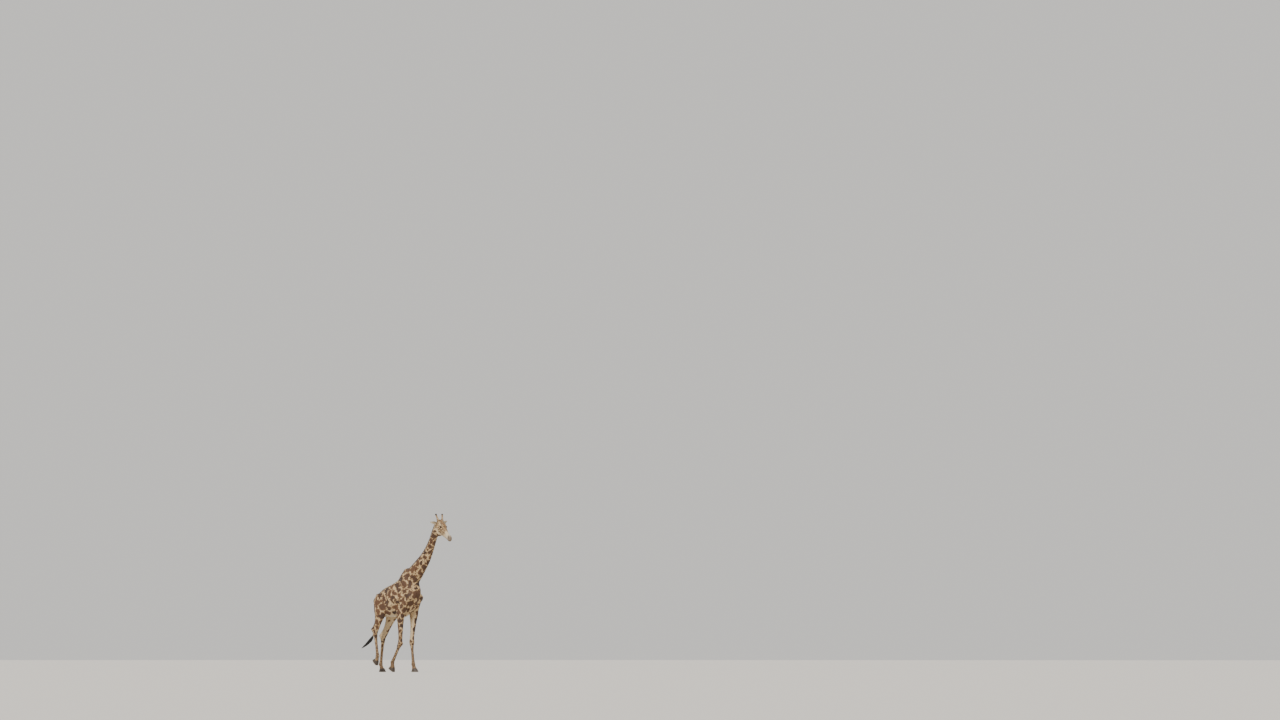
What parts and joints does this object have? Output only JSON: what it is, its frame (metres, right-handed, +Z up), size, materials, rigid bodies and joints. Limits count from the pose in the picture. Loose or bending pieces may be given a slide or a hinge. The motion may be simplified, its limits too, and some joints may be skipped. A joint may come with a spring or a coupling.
{
  "type": "giraffe",
  "caption": "Life-size still model of an adult Masai giraffe walking, with its neck held up and forward, a patterned coat, a short mane and a tufted tail.",
  "frame": {"origin": "on the floor, under the middle of the model's bounding box", "axes": "+X the way the animal walks, +Y its left side, +Z up"},
  "size_m": [3.5968, 0.6318, 4.5483],
  "materials": {
    "coat": "short flat fur, dark brown jagged patches on a buff ground",
    "mane": "short upright brown hair",
    "tail_tuft": "long black hair",
    "hoof": "dull dark horn",
    "eye": "wet dark brown eye"
  },
  "bodies": {
    "root": {"trunk": "coat", "neck_lower": "coat", "neck_upper": "coat", "head": "coat", "mane": "mane", "eye_left": "eye", "ear_left": "coat", "ossicone_left": "coat", "eye_right": "eye", "ear_right": "coat", "ossicone_right": "coat", "fore_left_upper": "coat", "fore_left_lower": "coat", "hoof_fore_left_outer": "hoof", "hoof_fore_left_inner": "hoof", "fore_right_upper": "coat", "fore_right_lower": "coat", "hoof_fore_right_outer": "hoof", "hoof_fore_right_inner": "hoof", "hind_left_upper": "coat", "hind_left_lower": "coat", "hoof_hind_left_outer": "hoof", "hoof_hind_left_inner": "hoof", "hind_right_upper": "coat", "hind_right_lower": "coat", "hoof_hind_right_outer": "hoof", "hoof_hind_right_inner": "hoof", "tail": "coat", "tail_tuft": "tail_tuft"}
  },
  "joints": []
}
